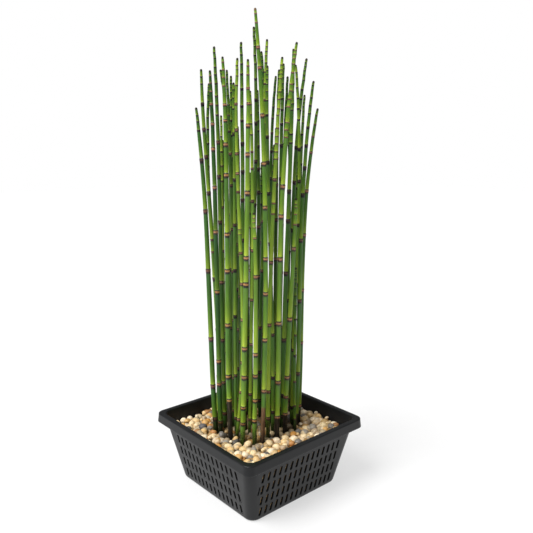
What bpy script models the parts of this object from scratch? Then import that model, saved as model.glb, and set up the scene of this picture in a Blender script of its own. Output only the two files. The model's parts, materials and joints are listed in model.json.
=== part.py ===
"""A potted water horsetail: a slotted square pond basket, planting mix, gravel and jointed stems.

Metres, +Z up. The middle of the basket's underside is the origin and its sides run along X and Y.
"""
import math

import bmesh
import bpy
from mathutils import Matrix, Vector

MM = 0.001

# Basket, outer sizes
HEIGHT = 88.0 * MM
RIM_WIDTH = 190.0 * MM
SKIRT_WIDTH = 191.6 * MM
SKIRT_DEPTH = 11.5 * MM
FLOOR_WIDTH = 143.7 * MM
WALL_SLOPE = 0.2095
RIM_CORNER = 9.5 * MM
BODY_CORNER = 12.0 * MM
FOOT_ROUND = 3.5 * MM
LIP_ROUND = 1.4 * MM

# Basket, thicknesses
WALL = 2.25 * MM
FLOOR = 2.5 * MM
LIP = 2.2 * MM
SKIRT = 2.0 * MM
LIP_CHAMFER = 1.0 * MM
TOP_OVERLAP = 0.8 * MM
GROOVE_DROP = 6.0 * MM
OVERSHOOT = 8.0 * MM

# Slots, four rows on every side
SLOT_WIDTH = 3.2 * MM
SLOT_HEIGHT = 10.5 * MM
SLOT_ROWS = (12.9 * MM, 28.7 * MM, 44.5 * MM, 60.3 * MM)
SLOT_REACH = 9.0 * MM
SLOT_LEAN = math.radians(4.5)
PITCH_GROWTH = 0.012
ODD_SLOT_AT = -68.6 * MM
ODD_SLOT_WIDTH = 1.7 * MM

# Fill
GAP = 0.35 * MM
MIX_TOP = 66.0 * MM
GRAVEL_BOTTOM = 66.35 * MM
GRAVEL_TOP = 78.6 * MM
FILL_CORNER = 10.0 * MM
MOUND_DEPTH = 5.2 * MM
MOUND_CELL = 6.0 * MM
# Waves that cross to make the gravel's mounds: spacing in millimetres, direction and start in degrees
MOUND_WAVES = (
    (17.0, 12, 40),
    (19.5, 74, 160),
    (16.0, 131, 250),
)

# Stems
FOOT_HEIGHT = 66.7 * MM
HOLE_FROM = 58.0 * MM
HOLE_TO = 90.0 * MM
STEM_SIDES_RESOLUTION = 1
HEXAGON_ROUNDING = 1.05
VIEW_TURN = math.radians(41.2)
TIP_WIDTH = 2.9 * MM
TIP_SHARE = 0.78
BLUNT_END = 0.35
# Share of the length, share of the way from the width at the foot to the width at the tip
NARROWING = (
    (0.0, 0.0),
    (0.3, 0.03),
    (0.55, 0.16),
    (0.78, 0.38),
    (0.92, 0.58),
    (0.97, 0.80),
    (0.9955, 1.0),
)

# Every stem in millimetres, set out from the basket's front corner: across is to the right and back is
# away. Foot width; height of the tip; across at the foot, one third, two thirds and the tip; back at the
# foot and the tip.
STEMS = (
    # outer left side
    (6.4, 471, (-54.3, -58.7, -61.6, -70.5), (-10, -14)),
    (5.6, 516, (-52.9, -51.8, -59.4, -66.1), (5, 8)),
    (4.4, 502, (-53.9, -53.5, -60.2, -58.8), (18, 26)),
    (6.0, 511, (-47.6, -49, -49.9, -53.3), (-16, -20)),
    (5.4, 539, (-42.7, -45, -45.6, -49.4), (-3, -5)),
    (3.6, 464, (-44, -44, -44, -44), (11, 15)),
    # front row, left to right
    (6.0, 523, (-34, -36, -35, -37.7), (-31, -38)),
    (4.6, 522, (-27.6, -18.3, -22, -21.5), (-29, -35)),
    (6.2, 518, (-19, -15, -11, -9.5), (-43, -54)),
    (5.6, 354, (-4, -3, -2, -4), (-45, -50)),
    (5.6, 571, (5, 9, 7.7, -1.8), (-43, -46)),
    (5.0, 523, (12, 14, 18.7, 27.7), (-30, -36)),
    (6.2, 538, (23, 25.2, 28.8, 43.3), (-29, -38)),
    (6.0, 368, (33.8, 36.3, 40.9, 45), (-16, -20)),
    # second row
    (4.6, 520, (-35, -38, -35, -46), (31, 42)),
    (4.2, 515, (-32, -31, -32, -36), (1, 6)),
    (4.8, 510, (-35, -35, -33, -32), (14, 20)),
    (4.4, 498, (-28, -28, -27, -27), (-15, -18)),
    (5.2, 542, (-17, -17.7, -17.6, -18), (-8, -16)),
    (4.2, 488, (-11, -8, -6, -8), (-21, -30)),
    (4.8, 564, (-9, -8.4, -2.8, -4.5), (9, 14)),
    (4.8, 540, (2, 3, 8, 4), (25, 34)),
    (5.0, 547, (9.4, 10.7, 8, 11), (-1, -4)),
    (4.6, 517, (17.8, 17.2, 12.8, 11.3), (-11, -14)),
    (4.4, 513, (16, 17, 15.3, 21.9), (36, 46)),
    (5.2, 522, (28.5, 27.4, 27.4, 30.1), (4, 6)),
    (4.4, 511, (26.5, 28.4, 30.9, 35.9), (24, 34)),
    (4.6, 476, (34, 36.5, 38.3, 37.2), (8, 16)),
    # right side
    (5.6, 535, (32.2, 32.7, 37.3, 40.6), (-3, -14)),
    (5.0, 518, (20.5, 21.5, 22.6, 25.5), (20, 26)),
    (4.4, 521, (43.6, 45.8, 49.9, 44.3), (8, 9)),
    (5.2, 530, (43.1, 43.8, 44.2, 58.1), (19, 22)),
    (4.4, 490, (50.3, 52.2, 52.5, 57.1), (30, 40)),
    (5.4, 502, (47.8, 51.4, 53.6, 65.2), (1, 2)),
    (5.4, 472, (51.5, 55, 57.6, 71.5), (13, 14)),
    # short and young
    (3.4, 428, (-43, -39, -36, -34), (21, 28)),
    (3.4, 254, (-20, -20, -20, -21), (-17, -16)),
    (3.6, 283, (47, 46, 46, 46), (-9, -7)),
    # back of the clump
    (5.2, 452, (-22, -23, -24, -25), (22, 28)),
    (5.6, 470, (-26, -27, -28, -30), (42, 54)),
    (5.4, 405, (-14, -14.6, -14.8, -14.6), (36, 46)),
    (5.6, 498, (-2.6, -0.9, -0.1, -1), (51, 64)),
    (5.2, 408, (5.7, 4.6, 4.1, 4.2), (60, 70)),
    (5.4, 451, (23, 22.3, 22.6, 22.4), (44, 56)),
    (5.6, 432, (42.4, 45.3, 48.2, 51.1), (43, 54)),
    (5.2, 436, (-45.8, -47, -46.2, -45.2), (38, 50)),
    (5.0, 430, (14, 15, 17, 20), (14, 19)),
    (4.8, 396, (-9.3, -9.8, -9.7, -9.5), (22, 29)),
)

# Mesh making
CORNER_SEGMENTS = 4
END_SEGMENTS = 2
UPRIGHT_RISE = 2.0 * MM
SAME_LEVEL = 0.001 * MM
LEFTOVER = 0.02 * MM
WELD = 0.01 * MM
SHARP_EDGE = math.radians(35)
SHARP_STEM_EDGE = math.radians(75)

CHARCOAL = (0.036, 0.037, 0.039)
DARK_SOIL = (0.060, 0.034, 0.016)
PEBBLE = (0.62, 0.48, 0.30)
STEM_GREEN = (0.105, 0.245, 0.030)


def clear_scene():
    for thing in list(bpy.data.objects):
        bpy.data.objects.remove(thing, do_unlink=True)


def collection(name):
    made = bpy.data.collections.new(name)
    bpy.context.scene.collection.children.link(made)
    return made


def material(name, colour, roughness):
    made = bpy.data.materials.new(name)
    made.use_nodes = True
    shader = made.node_tree.nodes["Principled BSDF"]
    shader.inputs["Base Color"].default_value = (*colour, 1.0)
    shader.inputs["Roughness"].default_value = roughness
    shader.inputs["Metallic"].default_value = 0.0
    return made


def add_object(name, mesh, home, finish=None):
    made = bpy.data.objects.new(name, mesh)
    home.objects.link(made)
    if finish:
        mesh.materials.clear()
        mesh.materials.append(finish)
    return made


def upright(edge):
    low, high = sorted((v.co.z for v in edge.verts))
    return high - low > UPRIGHT_RISE


def level_at(edge, height):
    return all(abs(v.co.z - height) < SAME_LEVEL for v in edge.verts)


def round_off(bm, edges, size, segments):
    bmesh.ops.bevel(
        bm, geom=edges, offset=size, offset_type="OFFSET", segments=segments, profile=0.5, affect="EDGES"
    )


def tapered_box(name, home, low, high, low_width, high_width, corner, foot_round=0.0, top_round=0.0):
    """A square block between two heights with rounded upright edges and, if asked, rounded ends."""
    bm = bmesh.new()
    bmesh.ops.create_cube(bm, size=1.0)
    for v in bm.verts:
        half = (high_width if v.co.z > 0 else low_width) / 2
        height = high if v.co.z > 0 else low
        v.co = Vector((math.copysign(half, v.co.x), math.copysign(half, v.co.y), height))
    edges = [e for e in bm.edges if upright(e)]
    round_off(bm, edges, corner, CORNER_SEGMENTS)
    for height, size in ((low, foot_round), (high, top_round)):
        if size:
            edges = [e for e in bm.edges if level_at(e, height)]
            round_off(bm, edges, size, END_SEGMENTS)
    bmesh.ops.recalc_face_normals(bm, faces=bm.faces)
    mesh = bpy.data.meshes.new(name)
    bm.to_mesh(mesh)
    bm.free()
    return add_object(name, mesh, home)


def as_cutter(thing):
    thing.hide_render = True
    thing.display_type = "WIRE"
    return thing


def combine(target, other, operation):
    step = target.modifiers.new(operation.lower(), "BOOLEAN")
    step.operation = operation
    step.solver = "EXACT"
    step.object = other


def baked(thing, finish):
    """The evaluated mesh in place of the modifiers, with tiny leftovers of the cuts merged."""
    ready = thing.evaluated_get(bpy.context.evaluated_depsgraph_get())
    mesh = bpy.data.meshes.new_from_object(ready)
    bm = bmesh.new()
    bm.from_mesh(mesh)
    bmesh.ops.remove_doubles(bm, verts=bm.verts, dist=LEFTOVER)
    bmesh.ops.dissolve_degenerate(bm, edges=bm.edges, dist=LEFTOVER)
    bm.to_mesh(mesh)
    bm.free()
    thing.modifiers.clear()
    thing.data = mesh
    mesh.materials.clear()
    mesh.materials.append(finish)


def outer_width(height):
    return FLOOR_WIDTH + 2 * WALL_SLOPE * height


def inner_width(height):
    return outer_width(height) - 2 * WALL


def slot_places():
    """Side turn, distance along the side, height and width of every slot."""
    # turn of the side about Z, slots in a row, spacing at the floor, shift of the row along the side
    sides = (
        (0.0, 15, 8.10 * MM, -3.0 * MM),
        (0.5 * math.pi, 14, 8.34 * MM, 0.0),
        (math.pi, 15, 8.10 * MM, 0.0),
        (1.5 * math.pi, 14, 8.34 * MM, 1.0 * MM),
    )
    for turn, count, spacing, shift in sides:
        for height in SLOT_ROWS:
            pitch = spacing + PITCH_GROWTH * height
            for index in range(count):
                yield turn, shift + pitch * (index - (count - 1) / 2), height, SLOT_WIDTH
    # the single narrow slot beside the front corner
    yield 0.0, ODD_SLOT_AT, SLOT_ROWS[2], ODD_SLOT_WIDTH


def slot_cutters(home):
    tilt = math.atan(WALL_SLOPE)
    bm = bmesh.new()
    for turn, along, height, width in slot_places():
        # on the sides turned by none and by a quarter, the slots lean the other way than on the other two
        lean = -SLOT_LEAN if turn in (0.0, 0.5 * math.pi) else SLOT_LEAN
        place = (
            Matrix.Rotation(turn, 4, "Z")
            @ Matrix.Translation((along, -outer_width(height) / 2 + WALL / 2, height))
            @ Matrix.Rotation(tilt, 4, "X")
            @ Matrix.Rotation(-lean, 4, "Y")
            @ Matrix.Diagonal((width, SLOT_REACH, SLOT_HEIGHT / math.cos(tilt), 1.0))
        )
        bmesh.ops.create_cube(bm, size=1.0, matrix=place)
    mesh = bpy.data.meshes.new("slots")
    bm.to_mesh(mesh)
    bm.free()
    return as_cutter(add_object("slots", mesh, home))


def make_basket(home, cutters, finish):
    shoulder = HEIGHT - SKIRT_DEPTH
    lip_under = HEIGHT - LIP
    body_top = HEIGHT - TOP_OVERLAP
    over = HEIGHT + OVERSHOOT
    inner_corner = BODY_CORNER - WALL
    basket = tapered_box(
        "basket", home, 0.0, body_top, FLOOR_WIDTH, outer_width(body_top), BODY_CORNER, FOOT_ROUND
    )
    rim = tapered_box(
        "rim", cutters, shoulder, HEIGHT, SKIRT_WIDTH, RIM_WIDTH, RIM_CORNER, top_round=LIP_ROUND
    )
    groove_low = SKIRT_WIDTH - 2 * SKIRT
    groove_high = RIM_WIDTH - 2 * SKIRT
    groove = tapered_box(
        "groove", cutters, shoulder - GROOVE_DROP, lip_under, groove_low, groove_high, RIM_CORNER - SKIRT
    )
    inside = tapered_box(
        "inside", cutters, FLOOR, over, inner_width(FLOOR), inner_width(over), inner_corner
    )
    mouth_foot = HEIGHT - LIP_CHAMFER
    mouth_width = inner_width(mouth_foot)
    mouth = tapered_box(
        "mouth", cutters, mouth_foot, over, mouth_width, mouth_width + 2 * (over - mouth_foot), inner_corner
    )
    for thing in (rim, groove, inside, mouth):
        as_cutter(thing)
    combine(rim, groove, "DIFFERENCE")
    combine(basket, rim, "UNION")
    combine(basket, inside, "DIFFERENCE")
    combine(basket, mouth, "DIFFERENCE")
    combine(basket, slot_cutters(cutters), "DIFFERENCE")
    baked(basket, finish)
    shade(basket)


def shade(thing):
    thing.data.shade_smooth()
    thing.data.set_sharp_from_angle(angle=SHARP_EDGE)


def fill_block(name, home, low, high, finish):
    block = tapered_box(
        name, home, low, high, inner_width(low) - 2 * GAP, inner_width(high) - 2 * GAP, FILL_CORNER
    )
    block.data.materials.append(finish)
    return block


def cubic(values, share):
    """The smooth line through four values at the foot, one third, two thirds and the tip."""
    a, b, c, d = values
    u = 3.0 * share
    return (
        -a * (u - 1) * (u - 2) * (u - 3) / 6
        + b * u * (u - 2) * (u - 3) / 2
        - c * u * (u - 1) * (u - 3) / 2
        + d * u * (u - 1) * (u - 2) / 6
    )


def stem_point(stem, share):
    _width, tip, across, back = stem
    x = cubic(across, share) * MM
    y = (back[0] + (back[1] - back[0]) * share) * MM
    z = FOOT_HEIGHT + (tip * MM - FOOT_HEIGHT) * share
    turned_x = x * math.cos(VIEW_TURN) + y * math.sin(VIEW_TURN)
    turned_y = -x * math.sin(VIEW_TURN) + y * math.cos(VIEW_TURN)
    return Vector((turned_x, turned_y, z))


def tube(name, home, points, radii):
    """A closed six-sided mesh tube along straight pieces."""
    curve = bpy.data.curves.new(name, "CURVE")
    curve.dimensions = "3D"
    curve.bevel_depth = radii[0]
    curve.bevel_resolution = STEM_SIDES_RESOLUTION
    curve.use_fill_caps = True
    spline = curve.splines.new("POLY")
    spline.points.add(len(points) - 1)
    for point, place, radius in zip(spline.points, points, radii):
        point.co = (*place, 1.0)
        point.radius = radius / radii[0]
    guide = bpy.data.objects.new(name + "_guide", curve)
    home.objects.link(guide)
    bpy.context.view_layer.update()
    mesh = bpy.data.meshes.new_from_object(guide.evaluated_get(bpy.context.evaluated_depsgraph_get()))
    mesh.transform(guide.matrix_world)
    bpy.data.objects.remove(guide, do_unlink=True)
    bm = bmesh.new()
    bm.from_mesh(mesh)
    bmesh.ops.remove_doubles(bm, verts=bm.verts, dist=WELD)
    bmesh.ops.recalc_face_normals(bm, faces=bm.faces)
    bm.to_mesh(mesh)
    bm.free()
    mesh.name = name
    return mesh


def stem_stations(stem):
    """Places up one stem with the width there; the last one closes the blunt tip."""
    foot = stem[0] * MM
    tip = min(TIP_WIDTH, foot * TIP_SHARE)
    stations = [(share, foot + (tip - foot) * part) for share, part in NARROWING]
    return stations + [(1.0, tip * BLUNT_END)]


def make_stem(number, stem, home):
    stations = stem_stations(stem)
    points = [stem_point(stem, share) for share, _width in stations]
    radii = [width / 2 * HEXAGON_ROUNDING for _share, width in stations]
    name = f"stem_{number:02d}"
    finish = material(f"green_{number:02d}", STEM_GREEN, 0.42)
    made = add_object(name, tube(name, home, points, radii), home, finish)
    made.data.shade_smooth()
    made.data.set_sharp_from_angle(angle=SHARP_STEM_EDGE)


def stem_hole(number, stem, home):
    """The room for one stem's foot, along the line of its lowest piece."""
    foot = stem_point(stem, NARROWING[0][0])
    next_up = stem_point(stem, NARROWING[1][0])
    rise = (next_up - foot) / (next_up.z - foot.z)
    ends = [foot + rise * (height - foot.z) for height in (HOLE_FROM, HOLE_TO)]
    radius = stem[0] * MM / 2 * HEXAGON_ROUNDING + GAP * HEXAGON_ROUNDING
    return tube(f"hole_{number:02d}", home, ends, [radius, radius])


def gravel_height(x, y):
    """The gravel's surface: crossing waves between the highest mounds and the deepest hollows."""
    total = 0.0
    for spacing, direction, start in MOUND_WAVES:
        turn = math.radians(direction)
        along = x * math.cos(turn) + y * math.sin(turn)
        total += math.sin(2 * math.pi * along / (spacing * MM) + math.radians(start))
    return GRAVEL_TOP - MOUND_DEPTH * 0.5 * (1 - total / len(MOUND_WAVES))


def mounded_block(name, home):
    """A block wider than the gravel whose top face has the gravel's mounds."""
    half = inner_width(GRAVEL_TOP) / 2
    cells = round(2 * half / MOUND_CELL)
    bm = bmesh.new()
    bmesh.ops.create_grid(bm, x_segments=cells, y_segments=cells, size=half)
    surface = list(bm.verts)
    bmesh.ops.extrude_face_region(bm, geom=list(bm.faces))
    for v in bm.verts:
        v.co.z = GRAVEL_BOTTOM - OVERSHOOT
    for v in surface:
        v.co.z = gravel_height(v.co.x, v.co.y)
    bmesh.ops.recalc_face_normals(bm, faces=bm.faces)
    mesh = bpy.data.meshes.new(name)
    bm.to_mesh(mesh)
    bm.free()
    return as_cutter(add_object(name, mesh, home))


def make_gravel(home, cutters, finish):
    gravel = fill_block("gravel", home, GRAVEL_BOTTOM, GRAVEL_TOP, finish)
    combine(gravel, mounded_block("mounds", cutters), "INTERSECT")
    bm = bmesh.new()
    for number, stem in enumerate(STEMS, 1):
        bm.from_mesh(stem_hole(number, stem, cutters))
    mesh = bpy.data.meshes.new("stem_holes")
    bm.to_mesh(mesh)
    bm.free()
    combine(gravel, as_cutter(add_object("stem_holes", mesh, cutters)), "DIFFERENCE")
    baked(gravel, finish)


def build():
    clear_scene()
    model = collection("water_horsetail")
    cutters = collection("cutters")
    make_basket(model, cutters, material("charcoal_plastic", CHARCOAL, 0.5))
    fill_block("planting_mix", model, FLOOR + GAP, MIX_TOP, material("planting_mix", DARK_SOIL, 0.95))
    make_gravel(model, cutters, material("pea_gravel", PEBBLE, 0.6))
    for number, stem in enumerate(STEMS, 1):
        make_stem(number, stem, model)


build()
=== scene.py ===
"""The potted water horsetail, dressed: moulded basket, soil, washed gravel and jointed green stems.

Metres, +Z up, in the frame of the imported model. Sizes of marks and patterns are given in millimetres.
"""
import json
import math

import bmesh
import bpy
import numpy as np
from mathutils import Euler, Matrix, Vector, noise

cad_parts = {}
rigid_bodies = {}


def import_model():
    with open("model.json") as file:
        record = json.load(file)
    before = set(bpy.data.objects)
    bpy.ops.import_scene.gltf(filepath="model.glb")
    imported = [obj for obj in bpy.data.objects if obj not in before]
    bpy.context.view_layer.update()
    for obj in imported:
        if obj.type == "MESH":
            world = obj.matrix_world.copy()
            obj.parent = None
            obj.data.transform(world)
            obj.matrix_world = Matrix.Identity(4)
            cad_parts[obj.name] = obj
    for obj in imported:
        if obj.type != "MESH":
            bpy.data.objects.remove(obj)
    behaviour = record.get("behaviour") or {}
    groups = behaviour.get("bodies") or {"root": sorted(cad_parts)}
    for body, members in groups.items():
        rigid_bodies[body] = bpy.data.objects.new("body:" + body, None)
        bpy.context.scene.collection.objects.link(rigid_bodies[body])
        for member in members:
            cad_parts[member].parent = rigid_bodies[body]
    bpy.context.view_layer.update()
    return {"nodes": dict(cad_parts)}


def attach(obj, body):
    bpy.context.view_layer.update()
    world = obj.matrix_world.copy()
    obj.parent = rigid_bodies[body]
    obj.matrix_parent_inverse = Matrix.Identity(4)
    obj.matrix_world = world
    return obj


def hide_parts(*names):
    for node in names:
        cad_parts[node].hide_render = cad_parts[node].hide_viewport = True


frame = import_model()

MM = 0.001

# Camera
LENS = 40.07
SENSOR = 36.0
CAMERA_PLACE = (-463.8 * MM, -545.3 * MM, 420.0 * MM)
CAMERA_TURN = math.radians(41.21)
CAMERA_DIP = math.radians(10.86)

# Light
BACKDROP_STRENGTH = 1.0
ROOM_STRENGTH = 0.2
# Each soft source: its strength, then its spread, turn to the left of the camera and height in degrees
SOFT_LIGHTS = {
    "key": (3.3, 34, 56, 54),
    "top": (0.9, 75, 30, 84),
}
FLOOR_SPAN = 12.0
FLOOR_GLOW = 0.6
FLOOR_SHADE = "#a0a0a0"

# Basket, as in the solid
HEIGHT = 88.0 * MM
RIM_WIDTH = 190.0 * MM
SKIRT_WIDTH = 191.6 * MM
SKIRT_DEPTH = 11.5 * MM
FLOOR_WIDTH = 143.7 * MM
WALL_SLOPE = 0.2095
RIM_CORNER = 9.5 * MM
BODY_CORNER = 12.0 * MM
FOOT_ROUND = 3.5 * MM
LIP_ROUND = 1.4 * MM
WALL = 2.25 * MM
FLOOR = 2.5 * MM
LIP = 2.2 * MM
SKIRT = 2.0 * MM
GROOVE_DROP = 6.0 * MM
INNER_EDGE_ROUND = 1.1 * MM
SKIRT_EDGE_ROUND = 0.5 * MM
CORNER_STEPS = 8
ROUND_STEPS = 4
FLAT_MARGIN = 1.2 * MM
# Points of the rounded edge under the skirt, as shares of its radius: out and down, then in and up
SKIRT_EDGE_INSIDE = ((0.15, 0.5), (0.5, 0.85), (1.0, 1.0))
SKIRT_EDGE_OUTSIDE = ((1.0, 0.0), (0.5, 0.15), (0.15, 0.5), (0.0, 1.0))
SKIRT_TAPER_SHARE = 0.2
MERGE_REACH = 0.01 * MM
SHARP_FROM = math.radians(32)

# Slots, as in the solid, with rounded ends
SLOT_WIDTH = 3.2 * MM
SLOT_HEIGHT = 10.5 * MM
SLOT_ROWS = (12.9 * MM, 28.7 * MM, 44.5 * MM, 60.3 * MM)
SLOT_REACH = 9.0 * MM
SLOT_LEAN = math.radians(4.5)
SLOT_END_ROUND = 1.2 * MM
SLOT_END_STEPS = 3
# How much larger a slot is in the middle of the wall, and its growth for each metre outwards
SLOT_MIDDLE = 1.08
SLOT_FLARE = 0.07 / MM
PITCH_GROWTH = 0.012
# Each side of the basket: turn from the front, slots in a row, their spacing at the foot and their shift
SLOT_SIDES = (
    (0.0, 15, 8.10 * MM, -3.0 * MM),
    (0.5 * math.pi, 14, 8.34 * MM, 0.0),
    (math.pi, 15, 8.10 * MM, 0.0),
    (1.5 * math.pi, 14, 8.34 * MM, 1.0 * MM),
)
# Sides, by their turn, whose slots lean the other way round from the rest
CONTRARY_SIDES = (0.0, 0.5 * math.pi)
ODD_SLOT_AT = -68.6 * MM
ODD_SLOT_WIDTH = 1.7 * MM

# Gravel
GRAVEL_BOTTOM = 66.4 * MM
GRAVEL_TOP = 78.6 * MM
MOUND_DEPTH = 5.2 * MM
# Waves that cross to make the gravel's mounds: spacing in millimetres, direction and start in degrees
MOUND_WAVES = (
    (17.0, 12, 40),
    (19.5, 74, 160),
    (16.0, 131, 250),
)
PEBBLE_SEED = 41
PEBBLE_SHAPES = 8
# A stone's second and third width as shares of its first, and how deep and how close its dents are
PEBBLE_SECOND = (0.78, 0.98)
PEBBLE_THIRD = (0.62, 0.84)
PEBBLE_DENT = 0.2
PEBBLE_DENT_SCALE = 2.6
PEBBLE_DENT_SHIFT = 7.3
PEBBLE_TILT = 0.3
# Widths in mm: the first and widest stones, how much finer the last are, how fast, and the unevenness
PEBBLE_WIDEST = 10.8
PEBBLE_FINER = 5.6
PEBBLE_FINER_POWER = 1.4
PEBBLE_UNEVEN = (-1.2, 0.6)
PEBBLE_CLEARANCE = 0.4 * MM
PEBBLE_STEM_SHARE = 0.42
# Each layer: how far its tops lie from the surface at most and at least, closeness, throws, and cleanness
# with painted shade, darker in the lower layers
PEBBLE_LAYERS = (
    (-1.2 * MM, 0.2 * MM, 0.46, 9000, 1.0),
    (-4.8 * MM, -3.0 * MM, 0.45, 7000, 0.72),
    (-7.5 * MM, -6.0 * MM, 0.5, 3000, 0.5),
)
# Heights in mm at which the stems' middles are read, among the stones and at their tops
AMONG_STONES = 74.0
OVER_STONES = 78.0
# Stones with more stems than this within reach are darkened by soil and painted shade, and fully so at the
# second number
CLUMP_REACH = 18.0 * MM
CLUMP_CROWD = (2, 7)
CLEAN_UNSHADED_LEFT = 0.12
LAST_TONE = 0.999

# Stems, with lengths and heights in mm unless a line says otherwise
STEM_SIDES = 14
STEM_SEED = 7
HEXAGON_ROUNDING = 1.05
RING_GAP = 0.6 * MM
BEND_DEGREE = 3
GROUND = 77.0
STEP = 8.0
JOINT_SPLIT = 0.005
TIP_ROUND = 1.6
TIP_STEPS = (4.0, 2.0, 1.0, 0.65, 0.35, 0.12, 0.0)
TIP_BLUNTNESS = 0.04
BELOW_TIP = 2.0
# Joints: spread of the usual lengths, room left at the tip, and how they crowd together towards it
USUAL_SPREAD = (0.8, 1.2)
USUAL_TIP_ROOM = 6.0
CROWDED = 4.6
CROWDING = 0.25
CROWDING_SPREAD = (0.85, 1.15)
JOINT_MARGIN = 3
BELOW_FOOT = 20
ABOVE_TIP = 2
SWAY = 0.16
# Sheaths are full size on a stem this thick between joints this far apart, and stay inside these shares
FULL_THICKNESS = 5.8
THICKNESS_SHARES = (0.6, 1.1)
FULL_LENGTH = 24.0
LENGTH_SHARES = (0.26, 1.12)
# Rings vary this much in darkness along a stem, and darken by this much towards the tip
TONE_SPREAD = 0.12
TONE_RISE = 0.35
# A distance from a joint that no mark reaches, for the ends that have no joint
OUT_OF_REACH = 99.0
STREAK_SHIFT = 37.0
# Soil on the feet: how high the stains reach, how they fade above that, and their strength at each height
FOOT_STAINS = (1.0, 2.0, 4.0, 6.0, 9.0, 16.0)
STAIN_FADE = (9.0, 20.0)
STAIN_STRENGTHS = (0.75, 0.6, 0.3, 0.0)
WITHERED_EDGE = (-5, 4)
DRY_TIP = (5.0, 1.5)
DRY_TIP_STRENGTH = 0.8


def linear(code, alpha=1.0):
    """An sRGB hex colour as linear values."""
    parts = [int(code[i:i + 2], 16) / 255 for i in (1, 3, 5)]
    return tuple(p / 12.92 if p <= 0.04045 else ((p + 0.055) / 1.055) ** 2.4 for p in parts) + (alpha,)


def pick(sockets, name):
    """The socket with this number, or the one in use with this name: some nodes hold several of one name."""
    if isinstance(name, str):
        return next(s for s in sockets if s.name == name and s.enabled)
    return sockets[name]


def add_node(tree, kind, inputs=None, out=None, stops=None, **settings):
    """A node, or one output of it, with its settings, ramp stops and the values or links of its sockets."""
    made = tree.nodes.new(kind)
    for name, value in settings.items():
        setattr(made, name, value)
    if stops:
        elements = made.color_ramp.elements
        elements.remove(elements[1])
        elements[0].position, elements[0].color = stops[0][0], linear(*stops[0][1:])
        for place, *colour in stops[1:]:
            elements.new(place).color = linear(*colour)
    for name, value in (inputs or {}).items():
        socket = pick(made.inputs, name)
        if isinstance(value, bpy.types.NodeSocket):
            tree.links.new(value, socket)
        else:
            socket.default_value = value
    return pick(made.outputs, out) if out else made


def new_material(name):
    made = bpy.data.materials.new(name)
    made.use_nodes = True
    made.node_tree.nodes.clear()
    return made, made.node_tree


def finish_material(tree, shader_inputs):
    shader = add_node(tree, "ShaderNodeBsdfPrincipled", shader_inputs)
    add_node(tree, "ShaderNodeOutputMaterial", {"Surface": shader.outputs["BSDF"]})


def band_stops(low, high, marks):
    """Ramp stops for marks given as distance in mm, colour and strength."""
    return [((at - low) / (high - low), *colour) for at, *colour in marks]


# Greens from the foot to the top of one length between joints: usual, deep and young
STEM_GREENS = (
    (
        (0.0, "#a5b836"), (0.07, "#92ae2e"), (0.2, "#749a2a"), (0.42, "#548528"), (0.74, "#40742c"),
        (1.0, "#43763a"),
    ),
    ((0.0, "#6c8a28"), (0.08, "#537420"), (0.25, "#3f621d"), (0.7, "#2a5020"), (1.0, "#2c522b")),
    ((0.0, "#bfce4e"), (0.2, "#a8bf3e"), (0.6, "#8cab34"), (1.0, "#7a9d38")),
)
# Marks round a joint in tan, mauve and nearly black sheaths: distance in mm, colour and strength
RING_REACH = 6.0
RING_MARKS = (
    (
        (-3.9, "#41583a", 0.0), (-3.2, "#33453a", 0.8), (-2.7, "#222b28", 1.0), (-1.2, "#1e2120", 1.0),
        (-0.8, "#9a6c42", 1.0), (-0.1, "#d09c60", 1.0), (0.8, "#bb8850", 1.0), (1.2, "#33302a", 1.0),
        (2.2, "#2b2e26", 1.0), (2.7, "#8fa64c", 0.4), (3.6, "#8fa64c", 0.0),
    ),
    (
        (-3.4, "#41583a", 0.0), (-2.7, "#4a4638", 0.6), (-2.2, "#4a383a", 0.9), (-1.2, "#5a3f3e", 1.0),
        (-0.8, "#98695a", 1.0), (0.1, "#b8866c", 1.0), (0.8, "#98694e", 1.0), (1.3, "#4a3c34", 1.0),
        (2.0, "#4a4a34", 0.9), (2.5, "#a0b450", 0.4), (3.4, "#a0b450", 0.0),
    ),
    (
        (-3.7, "#3a4c34", 0.0), (-2.9, "#293329", 0.9), (-2.2, "#1d201f", 1.0), (-0.3, "#211d1c", 1.0),
        (0.3, "#4c352d", 1.0), (1.0, "#3c2a24", 1.0), (1.6, "#20201b", 1.0), (2.3, "#2c3322", 0.8),
        (2.9, "#6f8a38", 0.0),
    ),
)
# Browns of withered and of bark-like parts, from the dark to the light streaks
OLD_BROWNS = (
    ((0.3, "#16140f"), (0.5, "#2c271e"), (0.7, "#5a5040")),
    ((0.3, "#38291d"), (0.5, "#6e5239"), (0.7, "#9a7a5c")),
)


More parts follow.
